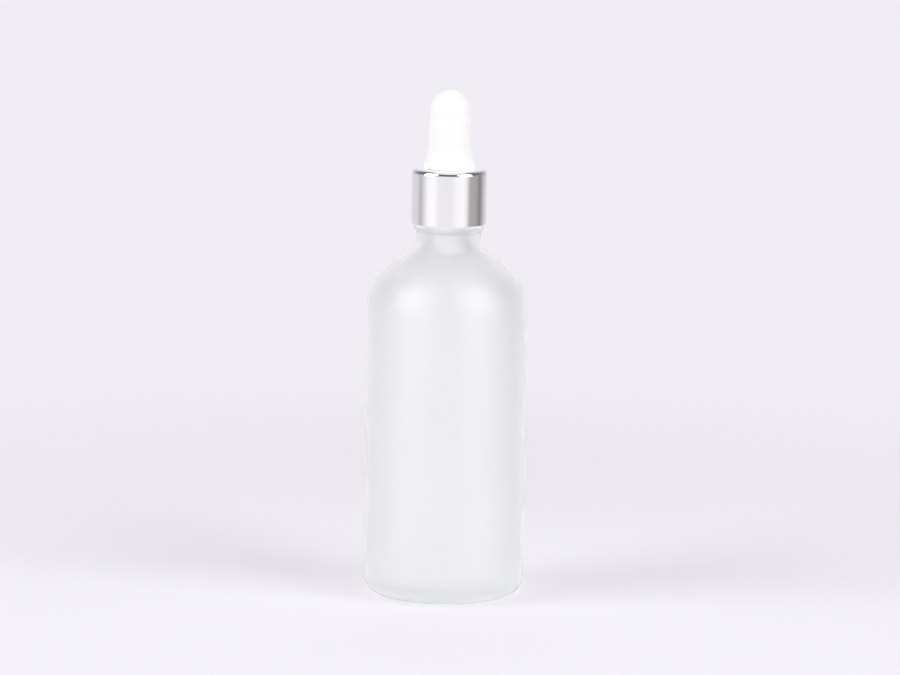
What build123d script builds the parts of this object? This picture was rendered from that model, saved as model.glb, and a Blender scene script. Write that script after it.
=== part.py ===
"""Medicine dropper: a frosted glass bottle with a screw cap, rubber bulb and glass pipette.

Millimetres, +Z up. The origin is the centre of the bottle's base, on the surface it stands on.
Each piece is a solid of revolution about Z, and the two threads are swept along helices.
"""

import math
import os

from build123d import *

# Bottle body
BODY_R = 22.25
WALL = 2.2
BASE_CORNER_R = 5.2
PUSH_UP_R = 12.5
PUSH_UP_DEPTH = 1.0
FLOOR_Z = 3.8
FLOOR_CORNER_R = 4.0
SHOULDER_Z = 79.7
SHOULDER_R = 14.9
SHOULDER_TURN = 55.0

# Bottle neck and its threaded finish
NECK_R = 8.92
NECK_ROOT_R = 3.5
BORE_R = 5.2
BORE_ROOT_R = 6.0
BEAD_FOOT_Z = 101.2
BEAD_WIDEST_Z = 102.7
BEAD_R = 9.65
BEAD_TOP_ROUND = 0.6
BEAD_ROOT_R = 0.5
FINISH_R = 7.8
FINISH_ROOT_R = 0.3
RIM_Z = 114.6
RIM_OUTER_ROUND = 0.7
RIM_INNER_ROUND = 0.5

# Thread of the bottle and of the cap, right-hand
PITCH = 3.175
THREAD_TURNS = 1.5
THREAD_START_Z = 106.6
THREAD_ROOT_WIDTH = 2.0
THREAD_CREST_WIDTH = 1.0
THREAD_EMBED = 0.3
BOTTLE_CREST_R = 8.8
CAP_CREST_R = 8.15
CAP_ROOT_R = 9.05

# Collar: aluminium shell over the plastic inner cap
COLLAR_R = 10.42
COLLAR_BOTTOM_Z = 103.4
COLLAR_TOP_Z = 118.7
SHEET = 0.45
COLLAR_TOP_ROUND = 1.4
COLLAR_EDGE_ROUND = 0.3
CURL_WIDTH = 0.6
COLLAR_HOLE_R = 6.2
CAP_PLAY = 0.02
DECK = 1.0
CAP_MOUTH_CHAMFER = 0.3

# Sealing washer
WASHER_R = 7.7
WASHER_HOLE_R = 3.6
WASHER_THICKNESS = 1.0

# Rubber bulb
BULB_R = 5.7
BULB_FOOT_R = 5.85
BULB_TOP_Z = 140.35
BULB_WALL = 1.4
FLARE_TURN = 14.0
FLARE_TOP_ROUND = 5.0
FLARE_FOOT_ROUND = 3.0
LIP_R = 7.0
LIP_HEIGHT = 0.7
LIP_GAP = 0.03
LIP_ROUND = 0.15
GROOVE_R = 6.0
FLANGE_R = 8.3
FLANGE = 1.6
FLANGE_ROUND = 0.3
GRIP_R = 3.55
GRIP_TOP_Z = 121.0

# Glass pipette
TUBE_R = 3.5
TUBE_BORE_R = 2.5
TIP_Z = 12.0
TIP_R = 1.5
TIP_BORE_R = 0.6
TIP_LENGTH = 4.0
TAPER_LENGTH = 16.0
TAPER_BEND_R = 16.0
TIP_ROUND = 0.4
HEAD_R = 4.05
HEAD_Z = 121.2
HEAD_HEIGHT = 1.4


def turned(edges, roundings=()):
    """Revolve a closed outline of (radius, height) edges about Z, after rounding its corners."""
    outline = make_face(Wire(edges))
    for corner, radius in roundings:
        vertex = outline.vertices().sort_by_distance(Vector(*corner))[0]
        outline = fillet(vertex, radius)
    return revolve(Plane.XZ * outline, Axis.Z)


def flank(body_r, neck_r, corner_r, shoulder_r, root_r, floor_z, neck_top_z):
    """Edges of a bottle's side: base corner, wall, shoulder, cone, root of the neck, neck."""
    corner = JernArc((body_r - corner_r, floor_z), (1, 0), corner_r, 90)
    wall = Line(corner @ 1, (body_r, SHOULDER_Z))
    shoulder = JernArc(wall @ 1, (0, 1), shoulder_r, SHOULDER_TURN)
    turn = math.radians(SHOULDER_TURN)
    cone_end_r = neck_r + root_r * (1 - math.cos(turn))
    cone_length = ((shoulder @ 1).X - cone_end_r) / math.sin(turn)
    cone = Line(shoulder @ 1, shoulder @ 1 + (shoulder % 1) * cone_length)
    root = JernArc(cone @ 1, cone % 1, root_r, -SHOULDER_TURN)
    neck = Line(root @ 1, (neck_r, neck_top_z))
    return [corner, wall, shoulder, cone, root, neck]


def thread(root_r, crest_r, start_z):
    """A right-hand ridge from root_r to crest_r, its root sunk THREAD_EMBED into the wall."""
    outward = math.copysign(1, crest_r - root_r)
    path = Helix(PITCH, THREAD_TURNS * PITCH, root_r, center=(0, 0, start_z))
    section = Polyline(
        (-outward * THREAD_EMBED, -THREAD_ROOT_WIDTH / 2),
        (0, -THREAD_ROOT_WIDTH / 2),
        (crest_r - root_r, -THREAD_CREST_WIDTH / 2),
        (crest_r - root_r, THREAD_CREST_WIDTH / 2),
        (0, THREAD_ROOT_WIDTH / 2),
        (-outward * THREAD_EMBED, THREAD_ROOT_WIDTH / 2),
        close=True,
    )
    start = Plane(origin=path @ 0, x_dir=(1, 0, 0), z_dir=-(path % 0))
    return sweep(start * make_face(section), path=path, is_frenet=True)


def bottle():
    """Glass bottle: hollow body, pushed-up base, bead under the collar and threaded finish."""
    inner_r = BODY_R - WALL
    bead_top_z = BEAD_WIDEST_Z + BEAD_TOP_ROUND
    outside = flank(BODY_R, NECK_R, BASE_CORNER_R, SHOULDER_R, NECK_ROOT_R, 0, BEAD_FOOT_Z)
    bead_under = TangentArc((BEAD_R, BEAD_WIDEST_Z), (NECK_R, BEAD_FOOT_Z), tangent=(0, -1))
    bead_over = JernArc((BEAD_R, BEAD_WIDEST_Z), (0, 1), BEAD_TOP_ROUND, 90)
    finish = Polyline(
        (BEAD_R - BEAD_TOP_ROUND, bead_top_z),
        (FINISH_R, bead_top_z),
        (FINISH_R, RIM_Z),
        (BORE_R, RIM_Z),
    )
    inside = flank(inner_r, BORE_R, FLOOR_CORNER_R, SHOULDER_R - WALL, BORE_ROOT_R, FLOOR_Z, RIM_Z)
    floor = Polyline((inner_r - FLOOR_CORNER_R, FLOOR_Z), (0, FLOOR_Z), (0, PUSH_UP_DEPTH))
    push_up = TangentArc((0, PUSH_UP_DEPTH), (PUSH_UP_R, 0), tangent=(1, 0))
    foot = Line((PUSH_UP_R, 0), (BODY_R - BASE_CORNER_R, 0))
    upper = [bead_under, bead_over, *finish.edges()]
    lower = [*floor.edges(), push_up, foot]
    glass = turned(
        [*outside, *upper, *inside, *lower],
        [
            ((NECK_R, BEAD_FOOT_Z), BEAD_ROOT_R),
            ((FINISH_R, bead_top_z), FINISH_ROOT_R),
            ((FINISH_R, RIM_Z), RIM_OUTER_ROUND),
            ((BORE_R, RIM_Z), RIM_INNER_ROUND),
        ],
    )
    return glass + thread(FINISH_R, BOTTLE_CREST_R, THREAD_START_Z)


def collar_shell():
    """Drawn aluminium cover: flat top with the bulb's hole, skirt, and a curl under the cap."""
    inner_r = COLLAR_R - SHEET
    outline = Polyline(
        (COLLAR_HOLE_R, COLLAR_TOP_Z),
        (COLLAR_R, COLLAR_TOP_Z),
        (COLLAR_R, COLLAR_BOTTOM_Z),
        (inner_r - CURL_WIDTH, COLLAR_BOTTOM_Z),
        (inner_r - CURL_WIDTH, COLLAR_BOTTOM_Z + SHEET),
        (inner_r, COLLAR_BOTTOM_Z + SHEET),
        (inner_r, COLLAR_TOP_Z - SHEET),
        (COLLAR_HOLE_R, COLLAR_TOP_Z - SHEET),
        close=True,
    )
    return turned(
        outline.edges(),
        [
            ((COLLAR_R, COLLAR_TOP_Z), COLLAR_TOP_ROUND),
            ((inner_r, COLLAR_TOP_Z - SHEET), COLLAR_TOP_ROUND - SHEET),
            ((COLLAR_R, COLLAR_BOTTOM_Z), COLLAR_EDGE_ROUND),
        ],
    )


def inner_cap():
    """Plastic core of the collar: deck with the bulb's hole, skirt and internal thread."""
    outer_r = COLLAR_R - SHEET - CAP_PLAY
    bottom_z = COLLAR_BOTTOM_Z + SHEET
    top_z = COLLAR_TOP_Z - SHEET
    outline = Polyline(
        (COLLAR_HOLE_R, top_z),
        (outer_r, top_z),
        (outer_r, bottom_z),
        (CAP_ROOT_R + CAP_MOUTH_CHAMFER, bottom_z),
        (CAP_ROOT_R, bottom_z + CAP_MOUTH_CHAMFER),
        (CAP_ROOT_R, top_z - DECK),
        (COLLAR_HOLE_R, top_z - DECK),
        close=True,
    )
    cap = turned(outline.edges(), [((outer_r, top_z), COLLAR_TOP_ROUND - SHEET)])
    return cap + thread(CAP_ROOT_R, CAP_CREST_R, THREAD_START_Z - PITCH / 2)


def sealing_washer():
    """Soft washer between the bottle's rim and the bulb's flange."""
    ring = Cylinder(WASHER_R, WASHER_THICKNESS) - Cylinder(WASHER_HOLE_R, WASHER_THICKNESS)
    return Pos(0, 0, RIM_Z + WASHER_THICKNESS / 2) * ring


def rubber_bulb():
    """Hollow squeeze bulb: flange under the deck, groove in the hole, lip and domed top."""
    flange_z = RIM_Z + WASHER_THICKNESS
    lip_z = COLLAR_TOP_Z + LIP_GAP
    dome_z = BULB_TOP_Z - BULB_R
    cavity_r = BULB_R - BULB_WALL
    turn = math.radians(FLARE_TURN)
    rounds = FLARE_TOP_ROUND + FLARE_FOOT_ROUND
    slope_width = LIP_R - BULB_FOOT_R - rounds * (1 - math.cos(turn))
    slope_height = slope_width / math.tan(turn)
    root = Polyline(
        (GRIP_R, flange_z),
        (FLANGE_R, flange_z),
        (FLANGE_R, flange_z + FLANGE),
        (GROOVE_R, flange_z + FLANGE),
        (GROOVE_R, lip_z),
        (LIP_R, lip_z),
        (LIP_R, lip_z + LIP_HEIGHT),
    )
    lip_round = JernArc((LIP_R, lip_z + LIP_HEIGHT), (0, 1), FLARE_FOOT_ROUND, FLARE_TURN)
    slope = Line(lip_round @ 1, lip_round @ 1 + Vector(-slope_width, slope_height))
    waist = JernArc(slope @ 1, slope % 1, FLARE_TOP_ROUND, -FLARE_TURN)
    side = Line(waist @ 1, (BULB_R, dome_z))
    dome = JernArc((BULB_R, dome_z), (0, 1), BULB_R, 90)
    crown = Line((0, BULB_TOP_Z), (0, dome_z + cavity_r))
    ceiling = JernArc((cavity_r, dome_z), (0, 1), cavity_r, 90)
    cavity = Polyline(
        (cavity_r, dome_z), (cavity_r, GRIP_TOP_Z), (GRIP_R, GRIP_TOP_Z), (GRIP_R, flange_z)
    )
    return turned(
        [*root.edges(), lip_round, slope, waist, side, dome, crown, ceiling, *cavity.edges()],
        [
            ((FLANGE_R, flange_z), FLANGE_ROUND),
            ((FLANGE_R, flange_z + FLANGE), FLANGE_ROUND),
            ((LIP_R, lip_z), LIP_ROUND),
        ],
    )


def pipette():
    """Glass tube with a drawn tip and a head bead that the bulb holds."""
    tube_z = TIP_Z + TIP_LENGTH + TAPER_LENGTH
    top_z = HEAD_Z + HEAD_HEIGHT
    outline = Polyline(
        (TIP_BORE_R, TIP_Z),
        (TIP_R, TIP_Z),
        (TIP_R, TIP_Z + TIP_LENGTH),
        (TUBE_R, tube_z),
        (TUBE_R, HEAD_Z),
        (HEAD_R, HEAD_Z),
        (HEAD_R, top_z),
        (TUBE_BORE_R, top_z),
        (TUBE_BORE_R, tube_z),
        (TIP_BORE_R, TIP_Z + TIP_LENGTH),
        close=True,
    )
    return turned(
        outline.edges(),
        [
            ((TIP_R, TIP_Z), TIP_ROUND),
            ((TIP_R, TIP_Z + TIP_LENGTH), TAPER_BEND_R),
            ((TUBE_R, tube_z), TAPER_BEND_R),
            ((TUBE_BORE_R, tube_z), TAPER_BEND_R),
            ((TIP_BORE_R, TIP_Z + TIP_LENGTH), TAPER_BEND_R),
            ((HEAD_R, HEAD_Z), TIP_ROUND),
            ((HEAD_R, top_z), TIP_ROUND),
        ],
    )


PARTS = [bottle, collar_shell, inner_cap, sealing_washer, rubber_bulb, pipette]

os.makedirs("parts", exist_ok=True)
for make in PARTS:
    export_step(make(), f"parts/{make.__name__}.step")
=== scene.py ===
import math

import bpy
from mathutils import Matrix, Vector


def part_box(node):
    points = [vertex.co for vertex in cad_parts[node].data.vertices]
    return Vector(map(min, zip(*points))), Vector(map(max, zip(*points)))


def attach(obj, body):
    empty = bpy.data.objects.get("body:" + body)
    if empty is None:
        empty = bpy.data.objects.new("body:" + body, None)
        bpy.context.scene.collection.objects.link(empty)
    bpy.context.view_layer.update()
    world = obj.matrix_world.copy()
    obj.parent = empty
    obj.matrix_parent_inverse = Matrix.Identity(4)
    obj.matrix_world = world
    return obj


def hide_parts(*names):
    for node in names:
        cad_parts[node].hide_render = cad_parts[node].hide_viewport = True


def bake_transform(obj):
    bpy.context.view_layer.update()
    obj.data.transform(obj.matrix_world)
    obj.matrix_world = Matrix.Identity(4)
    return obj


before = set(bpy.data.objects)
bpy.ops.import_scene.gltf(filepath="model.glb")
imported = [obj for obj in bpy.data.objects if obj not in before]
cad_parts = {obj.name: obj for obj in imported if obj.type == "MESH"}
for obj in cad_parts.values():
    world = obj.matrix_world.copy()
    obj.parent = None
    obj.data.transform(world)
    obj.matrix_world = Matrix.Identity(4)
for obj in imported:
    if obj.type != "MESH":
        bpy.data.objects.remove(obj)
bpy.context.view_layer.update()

MM = 0.001

# Sizes in millimetres, as the CAD pieces have them
BODY_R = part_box("bottle")[1].x / MM
RIM_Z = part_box("bottle")[1].z / MM
WALL = 2.2
BASE_CORNER_R = 5.2
PUSH_UP_R = 12.5
PUSH_UP_DEPTH = 1.0
FLOOR_Z = 3.8
FLOOR_CORNER_R = 4.0
SHOULDER_Z = 79.7
SHOULDER_R = 14.9
SHOULDER_TURN = 55.0
NECK_R = 8.92
NECK_ROOT_R = 3.5
BORE_R = 5.2
BORE_ROOT_R = 6.0
BEAD_FOOT_Z = 101.2
BEAD_WIDEST_Z = 102.7
BEAD_R = 9.65
BEAD_TOP_ROUND = 0.6
BEAD_ROOT_R = 0.5
FINISH_R = 7.8
FINISH_ROOT_R = 0.3
RIM_OUTER_ROUND = 0.7
RIM_INNER_ROUND = 0.5
PITCH = 3.175
THREAD_TURNS = 1.5
THREAD_START_Z = 106.6
THREAD_DEPTH = 1.0
THREAD_HALF_WIDTH = 1.0
THREAD_FADE_TURNS = 0.06

COLLAR_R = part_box("collar_shell")[1].x / MM
COLLAR_BOTTOM_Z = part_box("collar_shell")[0].z / MM
COLLAR_TOP_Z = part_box("collar_shell")[1].z / MM
SHEET = 0.45
COLLAR_TOP_ROUND = 1.4
COLLAR_EDGE_ROUND = 0.3
CURL_WIDTH = 0.6
COLLAR_HOLE_R = 6.2
HOLE_EDGE_ROUND = 0.1

FLANGE_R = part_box("rubber_bulb")[1].x / MM
FLANGE_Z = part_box("rubber_bulb")[0].z / MM
BULB_TOP_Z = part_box("rubber_bulb")[1].z / MM
FLANGE = 1.6
FLANGE_ROUND = 0.3
GROOVE_R = 6.0
GRIP_R = 3.55
GRIP_TOP_Z = 121.0
BULB_R = 5.7
BULB_FOOT_R = 5.85
BULB_WALL = 1.4
LIP_R = 7.0
LIP_GAP = 0.03
LIP_HEIGHT = 0.7
LIP_ROUND = 0.15
FLARE_TURN = 14.0
FLARE_TOP_ROUND = 5.0
FLARE_FOOT_ROUND = 3.0

TURN_STEPS = 288
SHARP_ANGLE = 32
MOULD_SEAMS = (math.radians(24), math.radians(204))
SEAM_HALF_WIDTH = 0.22
SEAM_HEIGHT = 0.03
SEAM_STEP = 0.28
SEAM_STEPS = 4
SKIN = 0.01


class Outline:
    """A turned piece's section: (radius, height) points joined by lines and tangent arcs."""

    def __init__(self, r, z, heading):
        self.points = [(r, z)]
        self.heading = math.radians(heading)

    def to(self, r, z, step=None):
        """A straight run to (r, z), with points about every `step` along it."""
        r0, z0 = self.points[-1]
        length = math.hypot(r - r0, z - z0)
        self.heading = math.atan2(z - z0, r - r0)
        count = max(1, round(length / step)) if step else 1
        for i in range(1, count + 1):
            t = i / count
            self.points.append((r0 + (r - r0) * t, z0 + (z - z0) * t))
        return self

    def run(self, length, step=None):
        """A straight run along the present heading."""
        r0, z0 = self.points[-1]
        return self.to(r0 + length * math.cos(self.heading), z0 + length * math.sin(self.heading), step)

    def turn(self, degrees):
        """A corner: the next run or arc leaves at another heading."""
        self.heading += math.radians(degrees)
        return self

    def arc(self, radius, degrees, step=5.0):
        """A tangent arc; a positive angle turns left, and there is a point every `step` degrees."""
        r0, z0 = self.points[-1]
        side = math.copysign(1, degrees)
        centre_r = r0 - side * radius * math.sin(self.heading)
        centre_z = z0 + side * radius * math.cos(self.heading)
        count = max(1, math.ceil(abs(degrees) / step))
        start = self.heading
        for i in range(1, count + 1):
            angle = start + math.radians(degrees) * i / count
            self.points.append((
                centre_r + side * radius * math.sin(angle),
                centre_z - side * radius * math.cos(angle),
            ))
        self.heading = start + math.radians(degrees)
        return self


def cone_length(outline, end_r, root_r, turn):
    """Length of the straight cone that leaves room for an arc of root_r up to the radius end_r."""
    arc_width = root_r * (1 - math.cos(math.radians(turn)))
    start_r = outline.points[-1][0]
    return abs(start_r - end_r - arc_width) / math.sin(math.radians(turn))


def turned(name, points, angles, reliefs=(), closed=True):
    """A mesh turned about Z, and for each face the number of the point that its span starts from.

    Each relief gives a radial height for a (radius, height, angle).
    """
    vertices, rings = [], []
    for r, z in points:
        if r < 1e-6:
            rings.append([len(vertices)])
            vertices.append((0, 0, z * MM))
            continue
        ring = []
        for a in angles:
            out = (r + sum(relief(r, z, a) for relief in reliefs)) * MM
            ring.append(len(vertices))
            vertices.append((out * math.cos(a), out * math.sin(a), z * MM))
        rings.append(ring)
    pairs = list(zip(rings, rings[1:]))
    if closed and len(rings[0]) > 1 and len(rings[-1]) > 1:
        pairs.append((rings[-1], rings[0]))
    faces, spans = [], []
    for span, (low, high) in enumerate(pairs):
        if len(low) == 1 and len(high) == 1:
            continue
        for i in range(len(angles)):
            j = (i + 1) % len(angles)
            if len(low) == 1:
                faces.append((low[0], high[j], high[i]))
            elif len(high) == 1:
                faces.append((low[i], low[j], high[0]))
            else:
                faces.append((low[i], low[j], high[j], high[i]))
            spans.append(span)
    mesh = bpy.data.meshes.new(name)
    mesh.from_pydata(vertices, [], faces)
    mesh.validate()
    mesh.shade_smooth()
    mesh.set_sharp_from_angle(angle=math.radians(SHARP_ANGLE))
    piece = bpy.data.objects.new(name, mesh)
    bpy.context.scene.collection.objects.link(piece)
    return piece, spans


def turn_angles(seams=()):
    """Angles round a turned piece, closer together beside the mould seams."""
    angles = {round(i * math.tau / TURN_STEPS, 6) for i in range(TURN_STEPS)}
    for seam in seams:
        for k in range(-SEAM_STEPS, SEAM_STEPS + 1):
            angles.add(round((seam + math.radians(SEAM_STEP) * k) % math.tau, 6))
    return sorted(angles)


# Pieces

def bottle_thread(r, z, angle):
    """Height of the screw thread's rounded ridge, which fades in and out at its two ends."""
    if r < FINISH_R - SKIN or not THREAD_START_Z - PITCH < z < RIM_Z - RIM_OUTER_ROUND:
        return 0
    turns = angle / math.tau
    height = 0
    for whole in range(-1, 3):
        along = turns + whole
        if not 0 <= along <= THREAD_TURNS:
            continue
        off = abs(z - THREAD_START_Z - PITCH * along) / THREAD_HALF_WIDTH
        if off >= 1:
            continue
        ends = min(1, along / THREAD_FADE_TURNS, (THREAD_TURNS - along) / THREAD_FADE_TURNS)
        flat_top = min(1, (1 - off) * 2)
        height = max(height, THREAD_DEPTH * math.sin(flat_top * math.pi / 2) * math.sin(ends * math.pi / 2))
    return height


def mould_seam(r, angle):
    """Height of the faint lines that the two halves of a mould leave down the sides."""
    height = 0
    for seam in MOULD_SEAMS:
        away = abs((angle - seam + math.pi) % math.tau - math.pi) * r
        height = max(height, SEAM_HEIGHT * max(0, 1 - away / SEAM_HALF_WIDTH))
    return height


def bottle_seam(r, z, angle):
    """The seams on the side, shoulder and neck, where the skin between them lies a seam's height lower."""
    side = r > BODY_R - WALL / 2 and BASE_CORNER_R < z < BEAD_FOOT_Z
    neck = r > NECK_R - SKIN and SHOULDER_Z < z < BEAD_FOOT_Z
    return mould_seam(r, angle) - SEAM_HEIGHT if side or neck else 0


def build_bottle():
    """The blown glass bottle. Its outside is etched matt and its inside only lightly hazed."""
    push_up_radius = (PUSH_UP_R**2 + PUSH_UP_DEPTH**2) / (2 * PUSH_UP_DEPTH)
    push_up_turn = math.degrees(math.asin(PUSH_UP_R / push_up_radius))
    bead_width, bead_height = BEAD_R - NECK_R, BEAD_WIDEST_Z - BEAD_FOOT_Z
    bead_r = (bead_width**2 + bead_height**2) / (2 * bead_width)
    bead_turn = math.degrees(math.acos(1 - bead_width / (bead_r + BEAD_ROOT_R)))
    bead_root_z = BEAD_WIDEST_Z - (bead_r + BEAD_ROOT_R) * math.sin(math.radians(bead_turn))
    o = Outline(0, PUSH_UP_DEPTH, 0)
    o.arc(push_up_radius, -push_up_turn, 0.6).turn(push_up_turn)
    o.to(BODY_R - BASE_CORNER_R, 0, 1.0)
    o.arc(BASE_CORNER_R, 90, 4).to(BODY_R, SHOULDER_Z, 2.0)
    o.arc(SHOULDER_R, SHOULDER_TURN, 1.5)
    o.run(cone_length(o, NECK_R, NECK_ROOT_R, SHOULDER_TURN), 0.5)
    o.arc(NECK_ROOT_R, -SHOULDER_TURN, 4).to(NECK_R, bead_root_z, 0.5)
    o.arc(BEAD_ROOT_R, -bead_turn, 6).arc(bead_r, bead_turn, 5).arc(BEAD_TOP_ROUND, 90, 10)
    o.to(FINISH_R + FINISH_ROOT_R, BEAD_WIDEST_Z + BEAD_TOP_ROUND, 0.3)
    o.arc(FINISH_ROOT_R, -90, 15)
    o.to(FINISH_R, RIM_Z - RIM_OUTER_ROUND, 0.12)
    o.arc(RIM_OUTER_ROUND, 90, 10)
    o.to(BORE_R + RIM_INNER_ROUND, RIM_Z, 0.5)
    o.arc(RIM_INNER_ROUND, 90, 15)
    last_outside = len(o.points) - 1
    inner_r = BODY_R - WALL
    root_z = bore_root_z(inner_r)
    o.to(BORE_R, root_z, 1.0)
    o.arc(BORE_ROOT_R, SHOULDER_TURN, 4)
    cone_end_r = inner_r - (SHOULDER_R - WALL) * (1 - math.cos(math.radians(SHOULDER_TURN)))
    o.run((cone_end_r - o.points[-1][0]) / math.sin(math.radians(SHOULDER_TURN)), 0.7)
    o.arc(SHOULDER_R - WALL, -SHOULDER_TURN, 2)
    o.to(inner_r, FLOOR_Z + FLOOR_CORNER_R, 2.5)
    o.arc(FLOOR_CORNER_R, -90, 6)
    o.to(0, FLOOR_Z, 1.0)
    angles = turn_angles(MOULD_SEAMS)
    piece, spans = turned("bottle_glass", o.points, angles, (bottle_thread, bottle_seam), closed=False)
    piece.data.materials.append(bottle_glass())
    inside = piece.data.attributes.new(INSIDE, "FLOAT", "FACE")
    inside.data.foreach_set("value", [float(span >= last_outside) for span in spans])
    return piece


def bore_root_z(inner_r):
    """Height at which the neck's bore starts to flare into the inner shoulder."""
    turn = math.radians(SHOULDER_TURN)
    shoulder_end_r = inner_r - (SHOULDER_R - WALL) * (1 - math.cos(turn))
    shoulder_end_z = SHOULDER_Z + (SHOULDER_R - WALL) * math.sin(turn)
    cone_width = shoulder_end_r - BORE_R - BORE_ROOT_R * (1 - math.cos(turn))
    return shoulder_end_z + cone_width / math.tan(turn) + BORE_ROOT_R * math.sin(turn)


def build_collar():
    """The drawn aluminium cover, with its rolled top edge and the curl under the inner cap."""
    inner_r = COLLAR_R - SHEET
    curl_r = inner_r - CURL_WIDTH
    o = Outline(curl_r, COLLAR_BOTTOM_Z, 0)
    o.to(COLLAR_R - COLLAR_EDGE_ROUND, COLLAR_BOTTOM_Z)
    o.arc(COLLAR_EDGE_ROUND, 90, 7.5).to(COLLAR_R, COLLAR_TOP_Z - COLLAR_TOP_ROUND, 0.8)
    o.arc(COLLAR_TOP_ROUND, 90, 4).to(COLLAR_HOLE_R + HOLE_EDGE_ROUND, COLLAR_TOP_Z, 0.6)
    o.arc(HOLE_EDGE_ROUND, 90, 22.5).to(COLLAR_HOLE_R, COLLAR_TOP_Z - SHEET)
    o.to(inner_r - COLLAR_TOP_ROUND + SHEET, COLLAR_TOP_Z - SHEET)
    o.arc(COLLAR_TOP_ROUND - SHEET, -90, 10).to(inner_r, COLLAR_BOTTOM_Z + SHEET)
    o.to(curl_r, COLLAR_BOTTOM_Z + SHEET)
    piece, _ = turned("collar_metal", o.points, turn_angles())
    piece.data.materials.append(polished_aluminium())
    return piece


def build_bulb():
    """The hollow squeeze bulb: flange, groove, lip, flare, straight sides and dome."""
    lip_z = COLLAR_TOP_Z + LIP_GAP
    dome_z = BULB_TOP_Z - BULB_R
    turn = math.radians(FLARE_TURN)
    slope_width = LIP_R - BULB_FOOT_R - (FLARE_TOP_ROUND + FLARE_FOOT_ROUND) * (1 - math.cos(turn))
    o = Outline(GRIP_R, FLANGE_Z, 0)
    o.to(FLANGE_R - FLANGE_ROUND, FLANGE_Z, 0.6).arc(FLANGE_ROUND, 90, 15)
    o.to(FLANGE_R, FLANGE_Z + FLANGE - FLANGE_ROUND).arc(FLANGE_ROUND, 90, 15)
    o.to(GROOVE_R, FLANGE_Z + FLANGE, 0.6).to(GROOVE_R, lip_z, 0.4)
    o.to(LIP_R - LIP_ROUND, lip_z).arc(LIP_ROUND, 90, 10).to(LIP_R, lip_z + LIP_HEIGHT, 0.2)
    o.arc(FLARE_FOOT_ROUND, FLARE_TURN, 2).run(slope_width / math.sin(turn), 0.25)
    o.arc(FLARE_TOP_ROUND, -FLARE_TURN, 2).to(BULB_R, dome_z, 0.4)
    o.heading = math.pi / 2
    o.arc(BULB_R, 90, 3)
    inside = Outline(0, dome_z + BULB_R - BULB_WALL, 0)
    inside.arc(BULB_R - BULB_WALL, -90, 6).to(BULB_R - BULB_WALL, GRIP_TOP_Z, 1.0)
    inside.to(GRIP_R, GRIP_TOP_Z).to(GRIP_R, FLANGE_Z, 1.0)
    points = [*o.points, *inside.points[:-1]]
    piece, _ = turned("bulb_rubber", points, turn_angles())
    piece.data.materials.append(white_rubber())
    return piece


# Materials

# Sockets of a Mix node that blends colours
MIX_A, MIX_B, MIX_RESULT = 6, 7, 2


class Nodes:
    """A material's node tree, with short calls to add and join nodes."""

    def __init__(self, name):
        self.material = bpy.data.materials.new(name)
        self.material.use_nodes = True
        self.tree = self.material.node_tree
        self.shader = self.tree.nodes["Principled BSDF"]

    def set(self, **values):
        """Sets the shader's own sockets; an underscore in a name stands for a space."""
        for name, value in values.items():
            self.shader.inputs[name.replace("_", " ")].default_value = value
        return self

    def add(self, kind, settings=None, **inputs):
        """A new node with its properties set, and its inputs joined to sockets or set to values."""
        node = self.tree.nodes.new(kind)
        for name, value in (settings or {}).items():
            setattr(node, name, value)
        for name, value in inputs.items():
            socket = node.inputs[name.replace("_", " ")]
            if isinstance(value, bpy.types.NodeSocket):
                self.tree.links.new(value, socket)
            else:
                socket.default_value = value
        return node

    def place(self):
        """Object coordinates, which are metres in the row frame."""
        return self.add("ShaderNodeTexCoord").outputs["Object"]

    def noise(self, scale, detail=3.0, roughness=0.5):
        """Noise with about `scale` features a metre."""
        node = self.add("ShaderNodeTexNoise", Vector=self.place(), Scale=scale, Detail=detail)
        node.inputs["Roughness"].default_value = roughness
        return node.outputs["Fac"]

    def ramp(self, value, low, high):
        """value from 0 to 1 mapped to the range low to high, which are numbers or sockets."""
        node = self.add("ShaderNodeMapRange", Value=value, To_Min=low, To_Max=high)
        return node.outputs["Result"]

    def tint(self, value, low, high):
        """A colour between low and high."""
        node = self.add("ShaderNodeMix", {"data_type": "RGBA"}, Factor=value)
        node.inputs[MIX_A].default_value = low
        node.inputs[MIX_B].default_value = high
        return node.outputs[MIX_RESULT]

    def bump(self, *layers):
        """Bumps of (height value, distance in millimetres), laid one over the other."""
        normal = None
        for value, distance in layers:
            node = self.add("ShaderNodeBump", Height=value, Distance=distance * MM, Strength=1.0)
            if normal:
                self.tree.links.new(normal, node.inputs["Normal"])
            normal = node.outputs["Normal"]
        self.tree.links.new(normal, self.shader.inputs["Normal"])
        return self

    def link(self, value, socket):
        """Joins value to one of the shader's own sockets."""
        self.tree.links.new(value, self.shader.inputs[socket])
        return self


# The bottle's face attribute that is 1 on its inside and 0 on its outside
INSIDE = "inside"


def bottle_glass():
    """Soda-lime glass, faintly green where it is thick: etched matt outside, lightly hazed inside."""
    n = Nodes("bottle_glass")
    n.set(Base_Color=(0.999, 1.0, 0.994, 1), Transmission_Weight=1.0, IOR=1.5)
    inside = n.add("ShaderNodeAttribute", {"attribute_name": INSIDE}).outputs["Fac"]
    etched = n.ramp(n.noise(900, 4), 0.57, 0.67)
    hazed = n.ramp(n.noise(300, 2), 0.15, 0.2)
    n.link(n.ramp(inside, etched, hazed), "Roughness")
    n.bump((n.noise(60, 2), 0.05), (n.noise(7000, 2), 0.003))
    volume = n.add("ShaderNodeVolumeAbsorption", Color=(0.3, 0.47, 0.36, 1), Density=2.8)
    n.tree.links.new(volume.outputs[0], n.tree.nodes["Material Output"].inputs["Volume"])
    return n.material


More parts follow.
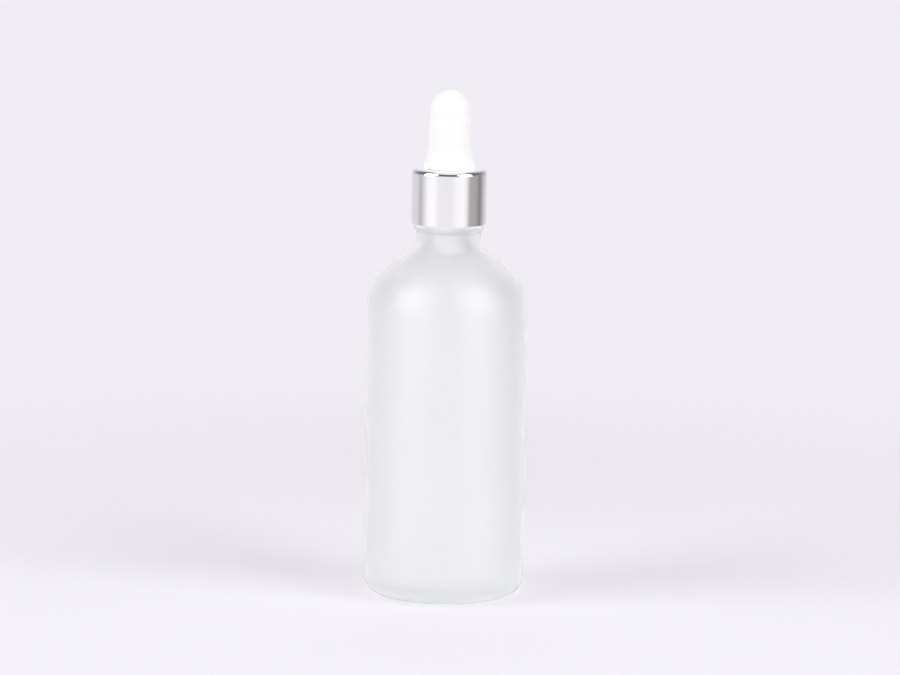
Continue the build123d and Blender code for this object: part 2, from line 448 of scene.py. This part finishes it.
def pipette_glass():
    """Clear tube glass with the slow waves of a drawn surface."""
    n = Nodes("pipette_glass")
    n.set(Base_Color=(0.993, 0.997, 0.995, 1), Transmission_Weight=1.0, IOR=1.5)
    n.link(n.ramp(n.noise(300, 2), 0.0, 0.03), "Roughness")
    n.bump((n.noise(45, 2), 0.03))
    return n.material


def polished_aluminium():
    """Polished and anodised aluminium, with hair-thin turning lines and soft smudges."""
    n = Nodes("polished_aluminium")
    n.set(Base_Color=(0.91, 0.905, 0.91, 1), Metallic=1.0)
    stretch = n.add("ShaderNodeMapping", Vector=n.place(), Scale=(1, 1, 40))
    lines = n.add("ShaderNodeTexNoise", Vector=stretch.outputs["Vector"], Scale=150, Detail=4)
    n.link(n.ramp(n.noise(250, 4), 0.05, 0.09), "Roughness")
    n.bump((lines.outputs["Fac"], 0.0006), (n.noise(120, 1), 0.004))
    return n.material


def white_rubber():
    """White moulded rubber with a satin skin."""
    n = Nodes("white_rubber")
    n.set(Subsurface_Weight=0.25, Subsurface_Radius=(1.0, 0.9, 0.8), Subsurface_Scale=0.0015, IOR=1.45)
    n.link(n.tint(n.noise(400, 3), (0.79, 0.79, 0.79, 1), (0.82, 0.82, 0.82, 1)), "Base Color")
    n.link(n.ramp(n.noise(1200, 4), 0.4, 0.52), "Roughness")
    n.bump((n.noise(3500, 3), 0.006))
    return n.material


def cap_plastic():
    """Natural polypropylene, slightly see-through."""
    n = Nodes("cap_plastic")
    n.set(Subsurface_Weight=0.4, Subsurface_Radius=(1.0, 1.0, 0.9), Subsurface_Scale=0.001, IOR=1.49)
    n.link(n.tint(n.noise(200, 3), (0.86, 0.86, 0.84, 1), (0.9, 0.9, 0.88, 1)), "Base Color")
    n.link(n.ramp(n.noise(900, 4), 0.3, 0.42), "Roughness")
    n.bump((n.noise(2500, 2), 0.004))
    return n.material


def washer_foam():
    """Closed-cell polyethylene sheet."""
    n = Nodes("washer_foam")
    n.set(Subsurface_Weight=0.3, Subsurface_Radius=(1.0, 1.0, 1.0), Subsurface_Scale=0.001)
    cells = n.add("ShaderNodeTexVoronoi", Vector=n.place(), Scale=3500)
    n.link(n.tint(n.noise(600, 3), (0.88, 0.88, 0.86, 1), (0.94, 0.94, 0.92, 1)), "Base Color")
    n.link(n.ramp(n.noise(900, 4), 0.6, 0.75), "Roughness")
    n.bump((cells.outputs["Distance"], 0.03))
    return n.material


def paint(node, material):
    """Gives a CAD node one material on its own object slot."""
    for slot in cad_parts[node].material_slots:
        slot.link = "OBJECT"
        slot.material = material


# Stage: floor, lights, studio surroundings and camera

BACKDROP = (0.868, 0.85, 0.902, 1)
FLOOR_COLOUR = (0.51, 0.503, 0.528, 1)
FLOOR_GLOW = (0.285, 0.281, 0.296, 1)
FLOOR_RADIUS = 0.4
FLOOR_RINGS = 24
FLOOR_STEPS = 96
FLOOR_FADE_START = 0.1
FLOOR_FADE_END = 0.37


def build_floor():
    """A pale tabletop that fades into the backdrop, and can't be seen from below."""
    vertices = [(0, 0, 0)]
    for ring in range(1, FLOOR_RINGS + 1):
        r = FLOOR_RADIUS * ring / FLOOR_RINGS
        for i in range(FLOOR_STEPS):
            a = i * math.tau / FLOOR_STEPS
            vertices.append((r * math.cos(a), r * math.sin(a), 0))
    faces = [(0, 1 + i, 1 + (i + 1) % FLOOR_STEPS) for i in range(FLOOR_STEPS)]
    for ring in range(1, FLOOR_RINGS):
        inner, outer = 1 + (ring - 1) * FLOOR_STEPS, 1 + ring * FLOOR_STEPS
        for i in range(FLOOR_STEPS):
            j = (i + 1) % FLOOR_STEPS
            faces.append((inner + i, outer + i, outer + j, inner + j))
    mesh = bpy.data.meshes.new("tabletop")
    mesh.from_pydata(vertices, [], faces)
    floor = bpy.data.objects.new("tabletop", mesh)
    bpy.context.scene.collection.objects.link(floor)
    n = Nodes("tabletop")
    n.set(Base_Color=FLOOR_COLOUR, Roughness=0.7, Specular_IOR_Level=0.1)
    n.set(Emission_Color=FLOOR_GLOW, Emission_Strength=1.0)
    distance = n.add("ShaderNodeVectorMath", {"operation": "LENGTH"})
    n.tree.links.new(n.place(), distance.inputs[0])
    fade = n.add(
        "ShaderNodeMapRange",
        {"interpolation_type": "SMOOTHSTEP"},
        Value=distance.outputs["Value"],
        From_Min=FLOOR_FADE_START,
        From_Max=FLOOR_FADE_END,
    )
    below = n.add("ShaderNodeNewGeometry").outputs["Backfacing"]
    gone = n.add("ShaderNodeMath", {"operation": "MAXIMUM"})
    n.tree.links.new(fade.outputs["Result"], gone.inputs[0])
    n.tree.links.new(below, gone.inputs[1])
    clear = n.add("ShaderNodeBsdfTransparent")
    mix = n.add("ShaderNodeMixShader")
    n.tree.links.new(gone.outputs[0], mix.inputs[0])
    n.tree.links.new(n.shader.outputs[0], mix.inputs[1])
    n.tree.links.new(clear.outputs[0], mix.inputs[2])
    n.tree.links.new(mix.outputs[0], n.tree.nodes["Material Output"].inputs["Surface"])
    mesh.materials.append(n.material)


SOFTBOX_ELEVATION = 34
SOFTBOX_DISTANCE = 1.0
SOFTBOX_HEIGHT = 0.75


def softbox(name, azimuth, width, radiance):
    """A softbox aimed at the object. Azimuth 0 is the camera's side, positive to its right."""
    a, e = math.radians(azimuth), math.radians(SOFTBOX_ELEVATION)
    away = Vector((math.sin(a) * math.cos(e), -math.cos(a) * math.cos(e), math.sin(e)))
    light = bpy.data.lights.new(name, "AREA")
    light.shape = "RECTANGLE"
    light.size, light.size_y = width, SOFTBOX_HEIGHT
    light.energy = radiance * math.pi * width * SOFTBOX_HEIGHT
    lamp = bpy.data.objects.new(name, light)
    lamp.location = away * SOFTBOX_DISTANCE
    lamp.rotation_euler = away.to_track_quat("Z", "Y").to_euler()
    lamp.visible_camera = False
    bpy.context.scene.collection.objects.link(lamp)


# Tints of the surroundings
WHITE = (0.985, 0.975, 1.0)
LILAC = (0.962, 0.945, 1.0)
UMBER = (1.0, 0.935, 0.955)

# Brightness and tint of the surroundings, in degrees to the right of the camera's side: the table
# below the horizon, the walls above it, and the room over them, up to the bright screen overhead.
TABLE_BAND = [
    (-180, 1.0, LILAC), (-168, 0.93, LILAC), (-155, 0.8, LILAC), (-130, 0.78, LILAC),
    (-112, 0.76, LILAC), (-98, 0.53, LILAC), (-87, 0.7, WHITE), (-68, 1.05, WHITE),
    (-48, 1.1, WHITE), (-32, 0.97, LILAC), (-12, 0.94, LILAC), (10, 0.97, LILAC),
    (24, 1.05, WHITE), (44, 1.08, WHITE), (55, 0.9, WHITE), (66, 0.47, UMBER),
    (90, 0.42, UMBER), (106, 0.26, UMBER), (114, 0.36, UMBER), (126, 0.58, LILAC),
    (138, 0.72, LILAC), (168, 0.93, LILAC), (180, 1.0, LILAC),
]
WALL_BAND = [
    (-180, 0.95, LILAC), (-165, 0.88, LILAC), (-135, 0.5, LILAC), (-110, 0.35, LILAC),
    (-80, 0.7, LILAC), (-45, 0.9, LILAC), (25, 0.9, LILAC), (60, 0.5, LILAC),
    (110, 0.3, UMBER), (135, 0.5, LILAC), (165, 0.88, LILAC), (180, 0.95, LILAC),
]
ROOM_BAND = [
    (-180, 1.0, LILAC), (-160, 0.8, LILAC), (-138, 0.4, LILAC), (-118, 0.18, UMBER),
    (-90, 0.15, UMBER), (60, 0.15, UMBER), (95, 0.18, UMBER), (118, 0.22, UMBER),
    (138, 0.4, LILAC), (160, 0.8, LILAC), (180, 1.0, LILAC),
]
SCREEN = (0.962, 0.945, 1.0, 1)

# Elevations in degrees
WALL_BOTTOM, WALL_TOP, SCREEN_BOTTOM = 0.0, 17.0, 62.0
BAND_BLUR = 8.0


def azimuth_ramp(tree, factor, stops):
    """A ramp over the azimuth, with one colour for each (degrees, brightness, tint) stop."""
    node = tree.nodes.new("ShaderNodeValToRGB")
    tree.links.new(factor, node.inputs["Fac"])
    elements = node.color_ramp.elements
    while len(elements) < len(stops):
        elements.new(0.5)
    for element, (degrees, brightness, tint) in zip(elements, stops):
        element.position = degrees / 360 + 0.5
        element.color = (*(brightness * t for t in tint), 1)
    return node.outputs["Color"]


def build_world():
    """A plain pale backdrop to the camera, and the studio's bands of light to the rest."""
    world = bpy.data.worlds.new("studio")
    bpy.context.scene.world = world
    world.use_nodes = True
    tree = world.node_tree
    tree.nodes.clear()

    def node(kind, settings=None, *links):
        """A new node with its properties set and (input, source) links made."""
        made = tree.nodes.new(kind)
        for key, value in (settings or {}).items():
            setattr(made, key, value)
        for index, source in links:
            tree.links.new(source, made.inputs[index])
        return made

    def above(degrees):
        """0 well under this elevation and 1 well above it."""
        step = node("ShaderNodeMapRange", {"interpolation_type": "SMOOTHSTEP"}, (0, axes["Z"]))
        step.inputs["From Min"].default_value = math.sin(math.radians(degrees - BAND_BLUR / 2))
        step.inputs["From Max"].default_value = math.sin(math.radians(degrees + BAND_BLUR / 2))
        return step.outputs[0]

    direction = node("ShaderNodeTexCoord").outputs["Generated"]
    axes = node("ShaderNodeSeparateXYZ", None, (0, direction)).outputs
    back = node("ShaderNodeMath", {"operation": "MULTIPLY"}, (0, axes["Y"]))
    back.inputs[1].default_value = -1
    azimuth = node("ShaderNodeMath", {"operation": "ARCTAN2"}, (0, axes["X"]), (1, back.outputs[0]))
    turn = node("ShaderNodeMath", {"operation": "MULTIPLY_ADD"}, (0, azimuth.outputs[0]))
    turn.inputs[1].default_value = 1 / math.tau
    turn.inputs[2].default_value = 0.5
    blend = {"data_type": "RGBA"}
    around = azimuth_ramp(tree, turn.outputs[0], TABLE_BAND)
    for bottom, band in ((WALL_BOTTOM, WALL_BAND), (WALL_TOP, ROOM_BAND)):
        colour = azimuth_ramp(tree, turn.outputs[0], band)
        mix = node("ShaderNodeMix", blend, (0, above(bottom)), (MIX_A, around), (MIX_B, colour))
        around = mix.outputs[MIX_RESULT]
    mix = node("ShaderNodeMix", blend, (0, above(SCREEN_BOTTOM)), (MIX_A, around))
    mix.inputs[MIX_B].default_value = SCREEN
    studio = node("ShaderNodeBackground", None, (0, mix.outputs[MIX_RESULT]))
    backdrop = node("ShaderNodeBackground")
    backdrop.inputs["Color"].default_value = BACKDROP
    seen = node("ShaderNodeLightPath").outputs["Is Camera Ray"]
    view = node("ShaderNodeMixShader", None, (0, seen), (1, studio.outputs[0]), (2, backdrop.outputs[0]))
    node("ShaderNodeOutputWorld", None, (0, view.outputs[0]))


CAMERA_AIM = Vector((0.83, 0, 71.5)) * MM
CAMERA_DISTANCE = 1.5
CAMERA_ELEVATION = 9.2
CAMERA_LENS = 217.3
CAMERA_ROLL = 0.93
LIGHT_BOUNCES = 24


def build_camera():
    """A long lens a little above the bottle, rolled by about a degree."""
    data = bpy.data.cameras.new("camera")
    data.sensor_width = 36
    data.lens = CAMERA_LENS
    data.clip_start, data.clip_end = 0.05, 20
    camera = bpy.data.objects.new("camera", data)
    bpy.context.scene.collection.objects.link(camera)
    e = math.radians(CAMERA_ELEVATION)
    back = Vector((0, -math.cos(e), math.sin(e)))
    turn = back.to_track_quat("Z", "Y").to_matrix() @ Matrix.Rotation(math.radians(CAMERA_ROLL), 3, "Z")
    camera.matrix_world = Matrix.Translation(CAMERA_AIM + back * CAMERA_DISTANCE) @ turn.to_4x4()
    bpy.context.scene.camera = camera


def add_pieces():
    """The detailed pieces in place of three CAD nodes, and the finishes of the other three."""
    bottle = build_bottle()
    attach(bottle, "bottle")
    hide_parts("bottle")

    collar = build_collar()
    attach(collar, "collar")
    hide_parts("collar_shell")

    bulb = build_bulb()
    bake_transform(bulb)
    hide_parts("rubber_bulb")

    paint("inner_cap", cap_plastic())
    paint("sealing_washer", washer_foam())
    paint("pipette", pipette_glass())


build_camera()
build_floor()
build_world()
softbox("left_softbox", azimuth=-66, width=0.6, radiance=4.6)
softbox("right_softbox", azimuth=55, width=0.65, radiance=4.7)
bpy.context.scene.view_settings.view_transform = "Standard"
bpy.context.scene.cycles.blur_glossy = 0
for limit in ("max_bounces", "transmission_bounces", "glossy_bounces", "diffuse_bounces"):
    setattr(bpy.context.scene.cycles, limit, LIGHT_BOUNCES)
add_pieces()
